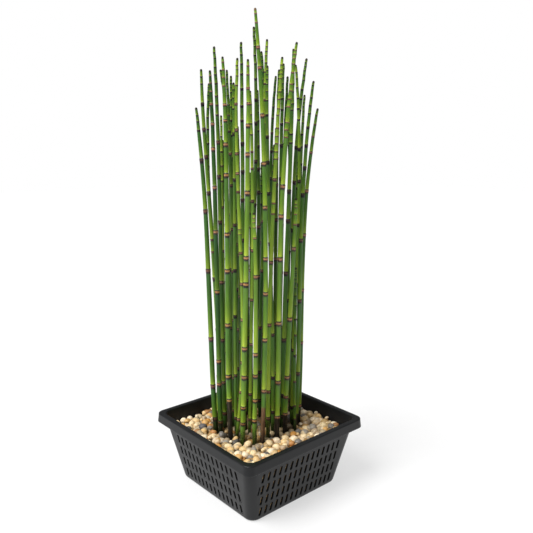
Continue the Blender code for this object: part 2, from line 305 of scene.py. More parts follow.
def make_stem_skin():
    """Skin of a grown horsetail stem."""
    # The eye sees a satin, finely ribbed green skin. It is yellow-green just above each joint, deep green
    # below the middle and dusty blue-green under the next joint. Each joint wears a sheath: a dark foot, a
    # patchy tan or mauve middle and a thin dark edge of teeth. Old feet are withered to dark brown.
    made, tree = new_material("horsetail_stem_grown_ribbed")

    def reading(name, output="Fac"):
        return add_node(tree, "ShaderNodeAttribute", attribute_name=name).outputs[output]

    section = reading("section", "Vector")
    split = add_node(tree, "ShaderNodeSeparateXYZ", {0: section})
    along = reading("along")

    # streaks run along the stem: about 1 mm wide and 15 mm long, in mm on a stem 3 mm in radius
    around_mm = add_node(
        tree, "ShaderNodeVectorMath", {0: section, 1: (3.0, 3.0, 0.0)}, operation="MULTIPLY", out="Vector"
    )
    slow = add_node(tree, "ShaderNodeMath", {0: along, 1: 0.07}, operation="MULTIPLY", out="Value")
    streak_place, speck_place = (
        add_node(
            tree, "ShaderNodeVectorMath",
            {0: around_mm, 1: add_node(tree, "ShaderNodeCombineXYZ", {2: rise}, out="Vector")},
            operation="ADD", out="Vector",
        )
        for rise in (slow, along)
    )
    streaks = add_node(
        tree, "ShaderNodeTexNoise",
        {"Vector": streak_place, "Scale": 0.9, "Detail": 3.0, "Roughness": 0.6}, out="Fac",
    )
    broad = add_node(
        tree, "ShaderNodeTexNoise", {"Vector": streak_place, "Scale": 0.28, "Detail": 1.0}, out="Fac"
    )
    specks = add_node(
        tree, "ShaderNodeTexNoise", {"Vector": speck_place, "Scale": 0.75, "Detail": 2.0}, out="Fac"
    )

    # green of one length between two joints, from its foot to its top
    usual, deep, young = (
        add_node(tree, "ShaderNodeValToRGB", {"Fac": reading("part")}, stops=stops, out="Color")
        for stops in STEM_GREENS
    )
    green = usual
    for name, other in (("deep", deep), ("young", young)):
        green = add_node(
            tree, "ShaderNodeMix", {"Factor": reading(name), "A": green, "B": other},
            data_type="RGBA", out="Result",
        )
    shade_range, broad_range = (
        add_node(
            tree, "ShaderNodeMapRange",
            {"Value": pattern, "From Min": 0.3, "From Max": 0.7, "To Min": darkest, "To Max": lightest},
            out="Result",
        )
        for pattern, darkest, lightest in ((streaks, 0.8, 1.16), (broad, 0.86, 1.12))
    )
    strength = add_node(
        tree, "ShaderNodeMath", {0: shade_range, 1: broad_range}, operation="MULTIPLY", out="Value"
    )
    green = add_node(
        tree, "ShaderNodeVectorMath", {0: green, "Scale": strength}, operation="SCALE", out="Vector"
    )

    # distance from the nearest joint, up as plus and down as minus, with an uneven edge
    up = reading("up")
    down = reading("down")
    is_above = add_node(tree, "ShaderNodeMath", {0: up, 1: down}, operation="LESS_THAN", out="Value")
    minus_down = add_node(tree, "ShaderNodeMath", {0: down, 1: -1.0}, operation="MULTIPLY", out="Value")
    nearest = add_node(
        tree, "ShaderNodeMix", {"Factor": is_above, "A": minus_down, "B": up}, data_type="FLOAT", out="Result"
    )
    uneven = add_node(
        tree, "ShaderNodeMapRange",
        {"Value": specks, "From Min": 0.25, "From Max": 0.75, "To Min": -0.4, "To Max": 0.4}, out="Result",
    )
    nearest = add_node(tree, "ShaderNodeMath", {0: nearest, 1: uneven}, operation="ADD", out="Value")
    place = add_node(
        tree, "ShaderNodeMapRange", {"Value": nearest, "From Min": -RING_REACH, "From Max": RING_REACH},
        out="Result",
    )
    tan_ring, mauve_ring, dark_ring = (
        add_node(
            tree, "ShaderNodeValToRGB", {"Fac": place}, stops=band_stops(-RING_REACH, RING_REACH, marks)
        )
        for marks in RING_MARKS
    )
    ring_colour, ring_strength = tan_ring.outputs["Color"], tan_ring.outputs["Alpha"]
    for lightest, darkest, ramp in ((0.0, 0.5, mauve_ring), (0.5, 1.0, dark_ring)):
        share = add_node(
            tree, "ShaderNodeMapRange", {"Value": reading("tone"), "From Min": lightest, "From Max": darkest},
            out="Result",
        )
        ring_colour = add_node(
            tree, "ShaderNodeMix", {"Factor": share, "A": ring_colour, "B": ramp.outputs["Color"]},
            data_type="RGBA", out="Result",
        )
        ring_strength = add_node(
            tree, "ShaderNodeMix", {"Factor": share, "A": ring_strength, "B": ramp.outputs["Alpha"]},
            data_type="FLOAT", out="Result",
        )
    # teeth and scars: dark marks in the sheath, drawn coarser than the real ones to show
    marks = add_node(
        tree, "ShaderNodeTexNoise", {"Vector": speck_place, "Scale": 1.3, "Detail": 1.0}, out="Fac"
    )
    marks = add_node(
        tree, "ShaderNodeMapRange",
        {"Value": marks, "From Min": 0.53, "From Max": 0.66, "To Min": 1.05, "To Max": 0.3}, out="Result",
    )
    ring_colour = add_node(
        tree, "ShaderNodeVectorMath", {0: ring_colour, "Scale": marks}, operation="SCALE", out="Vector"
    )
    skin = add_node(
        tree, "ShaderNodeMix", {"Factor": ring_strength, "A": green, "B": ring_colour},
        data_type="RGBA", out="Result",
    )

    # withered feet and tips
    withered, bark = (
        add_node(tree, "ShaderNodeValToRGB", {"Fac": streaks}, stops=stops, out="Color")
        for stops in OLD_BROWNS
    )
    old = add_node(
        tree, "ShaderNodeMix", {"Factor": reading("bark"), "A": withered, "B": bark},
        data_type="RGBA", out="Result",
    )
    ragged = add_node(tree, "ShaderNodeMath", {0: reading("dry"), 1: streaks}, operation="ADD", out="Value")
    old_share = add_node(
        tree, "ShaderNodeMapRange", {"Value": ragged, "From Min": 0.9, "From Max": 1.15}, out="Result"
    )
    # soil clings to the feet in ragged dark stains
    blotted = add_node(
        tree, "ShaderNodeMath", {0: reading("soiled"), 1: specks}, operation="ADD", out="Value"
    )
    blotted = add_node(
        tree, "ShaderNodeMapRange", {"Value": blotted, "From Min": 0.85, "From Max": 1.2, "To Max": 0.92},
        out="Result",
    )
    for share, colour in ((old_share, old), (blotted, linear("#17140b"))):
        skin = add_node(
            tree, "ShaderNodeMix", {"Factor": share, "A": skin, "B": colour}, data_type="RGBA", out="Result"
        )

    # 18 ribs around the stem, about 1 mm apart, and a little unevenness
    turn = add_node(
        tree, "ShaderNodeMath", {0: split.outputs["Y"], 1: split.outputs["X"]},
        operation="ARCTAN2", out="Value",
    )
    ribs = add_node(tree, "ShaderNodeMath", {0: turn, 1: 18.0}, operation="MULTIPLY", out="Value")
    ribs = add_node(tree, "ShaderNodeMath", {0: ribs}, operation="COSINE", out="Value")
    relief = add_node(
        tree, "ShaderNodeMath", {0: ribs, 1: 0.35, 2: streaks}, operation="MULTIPLY_ADD", out="Value"
    )
    bump = add_node(
        tree, "ShaderNodeBump", {"Height": relief, "Strength": 0.35, "Distance": 0.15 * MM}, out="Normal"
    )
    shine = add_node(
        tree, "ShaderNodeMapRange",
        {"Value": streaks, "From Min": 0.3, "From Max": 0.7, "To Min": 0.3, "To Max": 0.44}, out="Result",
    )
    rough = add_node(
        tree, "ShaderNodeMix", {"Factor": old_share, "A": shine, "B": 0.8}, data_type="FLOAT", out="Result"
    )
    finish_material(tree, {
        "Base Color": skin, "Roughness": rough, "Normal": bump, "IOR": 1.45, "Specular IOR Level": 0.3,
    })
    return made


def make_pebble_stone():
    """Washed, river-worn pea gravel."""
    # The eye sees smooth matt pebbles from cream and ivory through tan and ochre to a few greys and
    # slates, each slightly mottled and a little glossier where it is worn.
    made, tree = new_material("pea_gravel_river_worn")
    place = add_node(tree, "ShaderNodeTexCoord", out="Object")
    tone = add_node(tree, "ShaderNodeAttribute", attribute_name="tone", out="Fac")
    colour = add_node(
        tree, "ShaderNodeValToRGB", {"Fac": tone},
        stops=[
            (0.0, "#f3e0b6"), (0.15, "#fbeed0"), (0.29, "#ebcf98"), (0.41, "#f5e2b4"), (0.5, "#ddb26c"),
            (0.6, "#e8c88a"), (0.69, "#cf9848"), (0.75, "#ddcaa6"), (0.82, "#bcaa8c"), (0.88, "#c08c50"),
            (0.905, "#9b978d"), (0.945, "#7b7a76"), (0.98, "#5f6064"),
        ],
    )
    colour.color_ramp.interpolation = "CONSTANT"
    # mottling about 2 mm across and grains about 0.5 mm across
    mottle = add_node(
        tree, "ShaderNodeTexNoise",
        {"Vector": place, "Scale": 420.0, "Detail": 3.0, "Roughness": 0.6}, out="Fac",
    )
    grain = add_node(
        tree, "ShaderNodeTexNoise", {"Vector": place, "Scale": 1900.0, "Detail": 1.0}, out="Fac"
    )
    blotch = add_node(
        tree, "ShaderNodeMapRange", {"Value": mottle, "From Min": 0.32, "From Max": 0.68}, out="Result"
    )
    stained = add_node(
        tree, "ShaderNodeMix", {"Factor": blotch, "A": linear("#d49a48"), "B": linear("#ffffff")},
        data_type="RGBA", out="Result",
    )
    stone = add_node(
        tree, "ShaderNodeMix", {"Factor": 0.42, "A": colour.outputs["Color"], "B": stained},
        data_type="RGBA", blend_type="MULTIPLY", out="Result",
    )
    dust = add_node(
        tree, "ShaderNodeMapRange",
        {"Value": grain, "From Min": 0.3, "From Max": 0.7, "To Min": 0.9, "To Max": 1.08}, out="Result",
    )
    stone = add_node(
        tree, "ShaderNodeVectorMath", {0: stone, "Scale": dust}, operation="SCALE", out="Vector"
    )
    # soil and painted shade darken the stones among the stems and in the lower layers
    clean = add_node(tree, "ShaderNodeAttribute", attribute_name="clean", out="Fac")
    stone = add_node(
        tree, "ShaderNodeMix", {"Factor": clean, "A": linear("#2c2413"), "B": stone},
        data_type="RGBA", out="Result",
    )
    rough = add_node(
        tree, "ShaderNodeMapRange",
        {"Value": mottle, "From Min": 0.3, "From Max": 0.7, "To Min": 0.62, "To Max": 0.46}, out="Result",
    )
    bump = add_node(
        tree, "ShaderNodeBump", {"Height": grain, "Strength": 0.25, "Distance": 0.2 * MM}, out="Normal"
    )
    finish_material(tree, {"Base Color": stone, "Roughness": rough, "Normal": bump, "IOR": 1.54})
    return made


def make_moulded_plastic():
    """Injection-moulded polypropylene in charcoal."""
    # The eye sees an even, satin dark grey with a very fine spark-eroded grain and faint cloudiness.
    made, tree = new_material("polypropylene_moulded_charcoal")
    place = add_node(tree, "ShaderNodeTexCoord", out="Object")
    cloud = add_node(tree, "ShaderNodeTexNoise", {"Vector": place, "Scale": 45.0, "Detail": 2.0}, out="Fac")
    # the real grain is about 0.2 mm; it is drawn at 0.7 mm to show
    grain = add_node(
        tree, "ShaderNodeTexNoise", {"Vector": place, "Scale": 1400.0, "Detail": 2.0}, out="Fac"
    )
    colour = add_node(
        tree, "ShaderNodeValToRGB", {"Fac": cloud},
        stops=[(0.35, "#17181a"), (0.65, "#1c1d1e")], out="Color",
    )
    rough = add_node(
        tree, "ShaderNodeMapRange",
        {"Value": cloud, "From Min": 0.3, "From Max": 0.7, "To Min": 0.34, "To Max": 0.42}, out="Result",
    )
    bump = add_node(
        tree, "ShaderNodeBump", {"Height": grain, "Strength": 0.2, "Distance": 0.08 * MM}, out="Normal"
    )
    finish_material(tree, {
        "Base Color": colour, "Roughness": rough, "Normal": bump, "IOR": 1.49, "Specular IOR Level": 0.28,
    })
    return made


def make_soil():
    """Crumbly planting mix of bark, loam and fibre."""
    # The eye sees dark brown crumbs with golden-brown flecks of bark and fibre, quite matt.
    made, tree = new_material("planting_mix_crumbly")
    place = add_node(tree, "ShaderNodeTexCoord", out="Object")
    # crumbs about 2 mm across and fibres about 3 mm across
    crumbs = add_node(tree, "ShaderNodeTexVoronoi", {"Vector": place, "Scale": 480.0}, out="Distance")
    fibre = add_node(
        tree, "ShaderNodeTexNoise",
        {"Vector": place, "Scale": 300.0, "Detail": 4.0, "Roughness": 0.7}, out="Fac",
    )
    colour = add_node(
        tree, "ShaderNodeValToRGB", {"Fac": fibre},
        stops=[(0.3, "#423016"), (0.42, "#7c5d30"), (0.52, "#a98651"), (0.62, "#c7a670")], out="Color",
    )
    relief = add_node(tree, "ShaderNodeMath", {0: crumbs, 1: fibre}, operation="SUBTRACT", out="Value")
    bump = add_node(
        tree, "ShaderNodeBump", {"Height": relief, "Strength": 0.8, "Distance": 1.0 * MM}, out="Normal"
    )
    finish_material(tree, {"Base Color": colour, "Roughness": 0.95, "Normal": bump})
    return made


def make_studio_white():
    """Matt white studio paper."""
    # The eye sees white paper with pale shadows: a mid grey that takes the shadows, and a glow of its own
    # that keeps them pale. The rest of the floor is lit past white.
    made, tree = new_material("studio_paper_matt")
    finish_material(tree, {
        "Base Color": linear(FLOOR_SHADE), "Roughness": 0.9,
        "Emission Color": linear("#ffffff"), "Emission Strength": FLOOR_GLOW,
    })
    return made


def new_object(name, data, finish=None):
    made = bpy.data.objects.new(name, data)
    bpy.context.scene.collection.objects.link(made)
    if finish:
        dress(data, finish)
    return made


def dress(mesh, finish):
    mesh.materials.clear()
    mesh.materials.append(finish)


def built_mesh(bm, name):
    mesh = bpy.data.meshes.new(name)
    bm.to_mesh(mesh)
    bm.free()
    return mesh


def grown_mesh(name, tree, settings, guide):
    """The plain mesh that a Geometry Nodes tree makes from a guide mesh, with its inputs set by name."""
    thing = new_object(guide.name, guide)
    step = thing.modifiers.new("grow", "NODES")
    step.node_group = tree
    for item in tree.interface.items_tree:
        if item.item_type == "SOCKET" and item.in_out == "INPUT" and item.name in settings:
            step[item.identifier] = settings[item.name]
    bpy.context.view_layer.update()
    mesh = evaluated_mesh(thing)
    mesh.name = name
    bpy.data.objects.remove(thing)
    return mesh


def evaluated_mesh(thing):
    ready = thing.evaluated_get(bpy.context.evaluated_depsgraph_get())
    return bpy.data.meshes.new_from_object(ready)


def close_up(bm):
    """Merges what lies in one place and turns the faces outwards."""
    bmesh.ops.remove_doubles(bm, verts=bm.verts, dist=MERGE_REACH)
    bmesh.ops.recalc_face_normals(bm, faces=bm.faces)


def new_tree(name, **inputs):
    """A Geometry Nodes tree from geometry to geometry, with a material and inputs named for their kinds."""
    tree = bpy.data.node_groups.new(name, "GeometryNodeTree")
    tree.interface.new_socket("Geometry", in_out="INPUT", socket_type="NodeSocketGeometry")
    for kind, labels in {**inputs, "Material": ["Material"]}.items():
        for label in labels:
            tree.interface.new_socket(label, in_out="INPUT", socket_type="NodeSocket" + kind)
    tree.interface.new_socket("Geometry", in_out="OUTPUT", socket_type="NodeSocketGeometry")
    return tree, add_node(tree, "NodeGroupInput")


def end_tree(tree, start, geometry):
    real = add_node(tree, "GeometryNodeRealizeInstances", {"Geometry": geometry})
    painted = add_node(
        tree, "GeometryNodeSetMaterial",
        {"Geometry": real.outputs["Geometry"], "Material": start.outputs["Material"]},
    )
    add_node(tree, "NodeGroupOutput", {"Geometry": painted.outputs["Geometry"]})


def path_mesh(name, points, linked, **values):
    """Points, joined in a line if asked, that carry named values."""
    mesh = bpy.data.meshes.new(name)
    edges = [(i, i + 1) for i in range(len(points) - 1)] if linked else []
    mesh.from_pydata([tuple(p) for p in points], edges, [])
    for label, numbers in values.items():
        numbers = np.asarray(numbers, dtype=float)
        if numbers.ndim == 2:
            mesh.attributes.new(label, "FLOAT_VECTOR", "POINT").data.foreach_set("vector", numbers.ravel())
        else:
            mesh.attributes.new(label, "FLOAT", "POINT").data.foreach_set("value", numbers)
    return mesh


def place_piece(piece, node):
    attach(piece, "root")
    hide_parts(node)


def outer_width(height):
    return FLOOR_WIDTH + 2 * WALL_SLOPE * height


def inner_width(height):
    return outer_width(height) - 2 * WALL


def rounded_square(width, corner, height):
    """One level ring of points, with a point on the flat close beside every rounded corner."""
    half = width / 2
    ring = []
    for quarter in range(4):
        turn = Matrix.Rotation(quarter * math.pi / 2, 3, "Z")
        ring.append(turn @ Vector((half, half - corner - FLAT_MARGIN, height)))
        for step in range(CORNER_STEPS + 1):
            angle = step / CORNER_STEPS * math.pi / 2
            x = half - corner + corner * math.cos(angle)
            y = half - corner + corner * math.sin(angle)
            ring.append(turn @ Vector((x, y, height)))
        ring.append(turn @ Vector((half - corner - FLAT_MARGIN, half, height)))
    return ring


def quarter_round(low, high, rise_first):
    """Shares of a rounded edge from one end to the other, as pairs of sideways and upward share."""
    steps = []
    for step in range(ROUND_STEPS + 1):
        angle = step / ROUND_STEPS * math.pi / 2
        side = 1 - math.cos(angle) if rise_first else math.sin(angle)
        rise = math.sin(angle) if rise_first else 1 - math.cos(angle)
        steps.append((low + (high - low) * side, rise))
    return steps


def basket_rings():
    """The whole skin of the basket as level rings, from the middle of the underside to the inner floor."""
    rings = []

    def add(width, height, corner):
        rings.append(rounded_square(width, corner, height))

    # underside and rounded foot
    foot_in = FLOOR_WIDTH - 2 * FOOT_ROUND
    add(foot_in - 2 * FLAT_MARGIN, 0.0, BODY_CORNER - FOOT_ROUND - FLAT_MARGIN / 2)
    for inset, rise in quarter_round(FOOT_ROUND, 0.0, False):
        add(outer_width(rise * FOOT_ROUND) - 2 * inset, rise * FOOT_ROUND, BODY_CORNER - inset)
    add(outer_width(FOOT_ROUND + FLAT_MARGIN), FOOT_ROUND + FLAT_MARGIN, BODY_CORNER)
    # wall up into the groove behind the skirt
    under = HEIGHT - LIP
    shoulder = HEIGHT - SKIRT_DEPTH
    for height in (shoulder - GROOVE_DROP, shoulder, under - FLAT_MARGIN, under):
        add(outer_width(height), height, BODY_CORNER)
    # down the inside of the skirt, round its edge and up its outside
    groove = RIM_CORNER - SKIRT
    add(RIM_WIDTH - 2 * SKIRT, under, groove)
    add(SKIRT_WIDTH - 2 * SKIRT, shoulder + SKIRT_EDGE_ROUND, groove)
    for out, drop in SKIRT_EDGE_INSIDE:
        add(
            SKIRT_WIDTH - 2 * SKIRT + 2 * out * SKIRT_EDGE_ROUND,
            shoulder + SKIRT_EDGE_ROUND * (1 - drop), groove + out * SKIRT_EDGE_ROUND,
        )
    for back, rise in SKIRT_EDGE_OUTSIDE:
        add(
            SKIRT_WIDTH - 2 * back * SKIRT_EDGE_ROUND,
            shoulder + SKIRT_EDGE_ROUND * rise, RIM_CORNER - back * SKIRT_EDGE_ROUND,
        )
    add(SKIRT_WIDTH - (SKIRT_WIDTH - RIM_WIDTH) * SKIRT_TAPER_SHARE, shoulder + 2 * FLAT_MARGIN, RIM_CORNER)
    add(RIM_WIDTH, HEIGHT - LIP_ROUND - FLAT_MARGIN / 2, RIM_CORNER)
    for inset, rise in quarter_round(0.0, LIP_ROUND, True):
        add(RIM_WIDTH - 2 * inset, HEIGHT - LIP_ROUND * (1 - rise), RIM_CORNER - inset)
    # across the lip and over its inner edge
    mouth = inner_width(HEIGHT)
    inner_corner = BODY_CORNER - WALL
    for inset, rise in quarter_round(INNER_EDGE_ROUND, 0.0, False):
        drop = INNER_EDGE_ROUND * rise
        add(mouth + 2 * inset - 2 * WALL_SLOPE * drop, HEIGHT - drop, inner_corner + inset)
    # inner wall and inner floor
    for height in (HEIGHT - INNER_EDGE_ROUND - FLAT_MARGIN, FLOOR + FLAT_MARGIN, FLOOR):
        add(inner_width(height), height, inner_corner)
    return rings


def slot_places():
    """Side turn, distance along the side, height and width of every slot."""
    for turn, count, spacing, shift in SLOT_SIDES:
        for height in SLOT_ROWS:
            pitch = spacing + PITCH_GROWTH * height
            for index in range(count):
                yield turn, shift + pitch * (index - (count - 1) / 2), height, SLOT_WIDTH
    yield 0.0, ODD_SLOT_AT, SLOT_ROWS[2], ODD_SLOT_WIDTH


def slot_tree():
    """Long holes with rounded ends, one on every point."""
    tree, start = new_tree(
        "slots_with_rounded_ends", Float=["Width", "Height", "Reach", "End round", "Middle", "Flare"]
    )
    outline = add_node(
        tree, "GeometryNodeCurvePrimitiveQuadrilateral",
        {"Width": start.outputs["Width"], "Height": start.outputs["Height"]},
    )
    outline = add_node(
        tree, "GeometryNodeFilletCurve",
        {"Curve": outline.outputs["Curve"], "Radius": start.outputs["End round"], "Count": SLOT_END_STEPS},
        mode="POLY",
    )
    ends = {}
    for end, share in (("Start", -0.5), ("End", 0.5)):
        reach = add_node(
            tree, "ShaderNodeMath", {0: start.outputs["Reach"], 1: share}, operation="MULTIPLY", out="Value"
        )
        ends[end] = add_node(tree, "ShaderNodeCombineXYZ", {"Z": reach}, out="Vector")
    axis = add_node(tree, "GeometryNodeCurvePrimitiveLine", ends)
    # the moulded slots flare a little outwards, as a core that is drawn out leaves them
    place = add_node(tree, "GeometryNodeInputPosition", out="Position")
    along = add_node(tree, "ShaderNodeSeparateXYZ", {0: place}, out="Z")
    flare = add_node(
        tree, "ShaderNodeMath", {0: along, 1: start.outputs["Flare"], 2: start.outputs["Middle"]},
        operation="MULTIPLY_ADD", out="Value",
    )
    hole = add_node(
        tree, "GeometryNodeCurveToMesh",
        {
            "Curve": axis.outputs["Curve"], "Profile Curve": outline.outputs["Curve"], "Scale": flare,
            "Fill Caps": True,
        },
    )
    turn, size = (
        add_node(
            tree, "GeometryNodeInputNamedAttribute", {"Name": name}, data_type="FLOAT_VECTOR", out="Attribute"
        )
        for name in ("turn", "size")
    )
    holes = add_node(
        tree, "GeometryNodeInstanceOnPoints",
        {
            "Points": start.outputs["Geometry"], "Instance": hole.outputs["Mesh"],
            "Rotation": turn, "Scale": size,
        },
    )
    end_tree(tree, start, holes.outputs["Instances"])
    return tree


def slot_holes(finish):
    tilt = math.atan(WALL_SLOPE)
    places, turns, sizes = [], [], []
    for turn, along, height, width in slot_places():
        lean = -SLOT_LEAN if turn in CONTRARY_SIDES else SLOT_LEAN
        side = Matrix.Rotation(turn, 3, "Z")
        places.append(side @ Vector((along, -outer_width(height) / 2 + WALL / 2, height)))
        # the outline lies flat at first, and its reach stands up: it is tipped so that it faces outwards
        whole = side @ Matrix.Rotation(tilt, 3, "X") @ Matrix.Rotation(-lean, 3, "Y")
        whole = whole @ Matrix.Rotation(math.pi / 2, 3, "X")
        turns.append(whole.to_euler())
        sizes.append((width / SLOT_WIDTH, 1.0, 1.0))
    settings = {
        "Width": SLOT_WIDTH, "Height": SLOT_HEIGHT / math.cos(tilt), "Reach": SLOT_REACH,
        "End round": SLOT_END_ROUND, "Middle": SLOT_MIDDLE, "Flare": SLOT_FLARE, "Material": finish,
    }
    guide = path_mesh("slot_places", places, False, turn=turns, size=sizes)
    holes = grown_mesh("slot_holes", slot_tree(), settings, guide)
    bm = bmesh.new()
    bm.from_mesh(holes)
    close_up(bm)
    bm.to_mesh(holes)
    bm.free()
    return new_object("slot_holes", holes)


def make_basket(finish):
    bm = bmesh.new()
    rings = [[bm.verts.new(p) for p in ring] for ring in basket_rings()]
    for low, high in zip(rings, rings[1:]):
        for i in range(len(low)):
            j = (i + 1) % len(low)
            bm.faces.new((low[i], low[j], high[j], high[i]))
    bm.faces.new(list(reversed(rings[0])))
    bm.faces.new(rings[-1])
    close_up(bm)
    basket = new_object("basket_moulded", built_mesh(bm, "basket_moulded"), finish)
    holes = slot_holes(finish)
    cut = basket.modifiers.new("slots", "BOOLEAN")
    cut.operation = "DIFFERENCE"
    cut.solver = "EXACT"
    cut.object = holes
    cut_mesh = evaluated_mesh(basket)
    basket.modifiers.clear()
    basket.data = cut_mesh
    bpy.data.objects.remove(holes)
    dress(cut_mesh, finish)
    cut_mesh.shade_smooth()
    cut_mesh.set_sharp_from_angle(angle=SHARP_FROM)
    place_piece(basket, "basket")


# Each row: how young and fresh, how deep green, height in mm to which the foot is withered, whether the
# withered part is bark-like, how dark the rings are from tan over mauve to nearly black, and the heights
# of the joints in mm. A stem with no heights follows the rule.
STEM_LOOKS = {
    1: (0.05, 0.5, 0, 0, 0.75, (88, 132, 194, 280, 352, 411, 445, 455, 462)),
    2: (0.3, 0.3, 0, 0, 0.8, (90, 138, 200, 266, 300, 315, 372, 415, 447, 476, 499, 507)),
    3: (0.1, 0.6, 0, 0, 0.9, ()),
    4: (0.0, 0.9, 0, 0, 0.1, (86, 137, 167, 255, 328, 380, 424, 452, 474, 488, 497, 505)),
    5: (0.1, 0.5, 0, 0, 0.7, (92, 134, 190, 264, 338, 392, 432, 463, 474, 484, 498, 508, 516, 526, 532)),
    6: (0.7, 0.0, 0, 0, 0.6, (96, 122, 167, 194, 260, 300, 354, 386, 404, 421, 439, 451, 458)),
    7: (0.2, 0.1, 121, 0, 0.0, (122, 153, 218, 284, 327, 395, 429, 455, 472, 492, 501, 509, 517)),
    8: (0.7, 0.0, 0, 0, 0.45, (
        96, 132, 170, 224, 268, 305, 327, 333, 376, 397, 419, 445, 473, 493, 503, 510,
    )),
    9: (0.45, 0.0, 0, 0, 0.05, (97, 118, 157, 193, 271, 302, 376, 418, 449, 472, 488, 502, 511)),
    10: (0.5, 0.0, 0, 0, 0.1, (102, 128, 159, 186, 280, 325, 337, 343, 348)),
    11: (0.25, 0.0, 118, 1, 0.15, (139, 203, 259, 300, 359, 408, 460, 510, 531, 556, 565)),
    12: (0.75, 0.0, 0, 0, 0.5, (
        98, 133, 218, 294, 351, 363, 390, 413, 421, 430, 438, 447, 461, 468, 478, 486, 500,
    )),
    13: (0.35, 0.1, 99, 0, 0.2, (99, 145, 220, 298, 348, 382, 437, 445, 453, 470, 478, 487, 494, 506, 515)),
    14: (0.3, 0.1, 97, 0, 0.3, (97, 120, 146, 221, 308, 337, 349, 357, 361)),
    17: (0.2, 0.4, 0, 0, 0.8, ()),
    18: (0.2, 0.4, 0, 0, 0.9, (91, 148, 224, 281, 336, 389, 441, 469, 481, 490)),
    19: (0.1, 0.5, 0, 0, 0.9, (95, 140, 205, 262, 317, 365, 398, 430, 456, 472, 491, 507, 518, 528, 536)),
    20: (0.5, 0.1, 0, 0, 0.6, (92, 126, 191, 247, 307, 365, 402, 421, 440, 452, 462, 473, 483)),
    23: (0.55, 0.0, 0, 0, 0.5, (110, 180, 250, 320, 367, 406, 453, 462, 480, 498, 511, 521, 529)),
    29: (0.1, 0.5, 0, 0, 0.95, (88, 117, 191, 276, 340, 375, 431, 441, 468, 475, 488, 497, 509, 519)),
    31: (0.45, 0.1, 0, 0, 0.85, (95, 173, 258, 333, 386, 424, 458, 471, 483, 495, 505, 512)),
    32: (0.1, 0.6, 0, 0, 0.9, (100, 182, 261, 325, 384, 426, 460, 470, 483, 494, 505)),
    34: (0.1, 0.5, 90, 0, 0.85, (87, 144, 239, 315, 370, 402, 428, 449, 465, 474, 483, 492)),
    35: (0.1, 0.5, 90, 0, 0.4, (95, 181, 250, 320, 374, 420, 439, 453, 464)),
}
# Ranges for a stem without a row: how young, how deep green and how dark its rings
OTHER_LOOKS = ((0.0, 0.2), (0.5, 0.95), (0.6, 1.0))
# Usual lengths between joints from the ground up, in mm
USUAL_LENGTHS = (22, 46, 74, 78, 66, 54, 42, 30, 22, 16, 12, 9, 7, 6, 5)
# Distance from a joint in mm and how much the sheath stands proud there in mm
SHEATH = ((-5.0, 0.0), (-2.6, 0.03), (-1.0, 0.16), (0.6, 0.24), (1.6, 0.22), (1.7, 0.0), (5.0, 0.0))


def ring_middles(node):
    """Heights, middles and radii of the rings of points of one stem solid."""
    points = np.array([tuple(v.co) for v in node.data.vertices])
    points = np.unique(np.round(points, 7), axis=0)
    points = points[np.argsort(points[:, 2])]
    cuts = np.where(np.diff(points[:, 2]) > RING_GAP)[0] + 1
    rings = np.split(points, cuts)
    middles = np.array([ring.mean(axis=0) for ring in rings])
    radii = [
        np.linalg.norm(ring - middle, axis=1).mean() / HEXAGON_ROUNDING
        for ring, middle in zip(rings, middles)
    ]
    return middles, np.array(radii)


def usual_joints(tip, dice):
    lengths = np.array(USUAL_LENGTHS, dtype=float) * dice.uniform(*USUAL_SPREAD, len(USUAL_LENGTHS))
    heights = GROUND + np.cumsum(lengths) * (tip - GROUND) / (lengths.sum() + USUAL_TIP_ROOM)
    return tuple(heights)


def stem_tree():
    """A round stem that follows a line of points and takes its width from them."""
    tree, start = new_tree("stem_along_its_line", Int=["Sides"])
    line = add_node(tree, "GeometryNodeMeshToCurve", {"Mesh": start.outputs["Geometry"]})
    width = add_node(
        tree, "GeometryNodeInputNamedAttribute", {"Name": "width"}, data_type="FLOAT", out="Attribute"
    )
    circle = add_node(
        tree, "GeometryNodeCurvePrimitiveCircle", {"Resolution": start.outputs["Sides"], "Radius": 1.0}
    )
    place = add_node(tree, "GeometryNodeInputPosition")
    circle = add_node(
        tree, "GeometryNodeStoreNamedAttribute",
        {"Geometry": circle.outputs["Curve"], "Name": "section", "Value": place.outputs["Position"]},
        data_type="FLOAT_VECTOR", domain="POINT",
    )
    skin = add_node(
        tree, "GeometryNodeCurveToMesh",
        {
            "Curve": line.outputs["Curve"], "Profile Curve": circle.outputs["Geometry"], "Scale": width,
            "Fill Caps": True,
        },
    )
    smooth = add_node(tree, "GeometryNodeSetShadeSmooth", {"Geometry": skin.outputs["Mesh"]})
    end_tree(tree, start, smooth.outputs["Geometry"])
    return tree


def stem_stations(foot, tip, joints, scales):
    """Heights of the rings of points along one stem in mm, close together at its joints and its tip."""
    marks = []
    for joint, scale in zip(joints, scales):
        marks += [joint + away * scale for away, _ in SHEATH]
        marks += [joint - JOINT_SPLIT, joint + JOINT_SPLIT]
    marks += [foot] + list(np.arange(foot, tip - BELOW_TIP, STEP))
    marks += [tip - TIP_ROUND * share for share in TIP_STEPS]
    return np.unique(np.round([m for m in marks if foot <= m <= tip], 3))


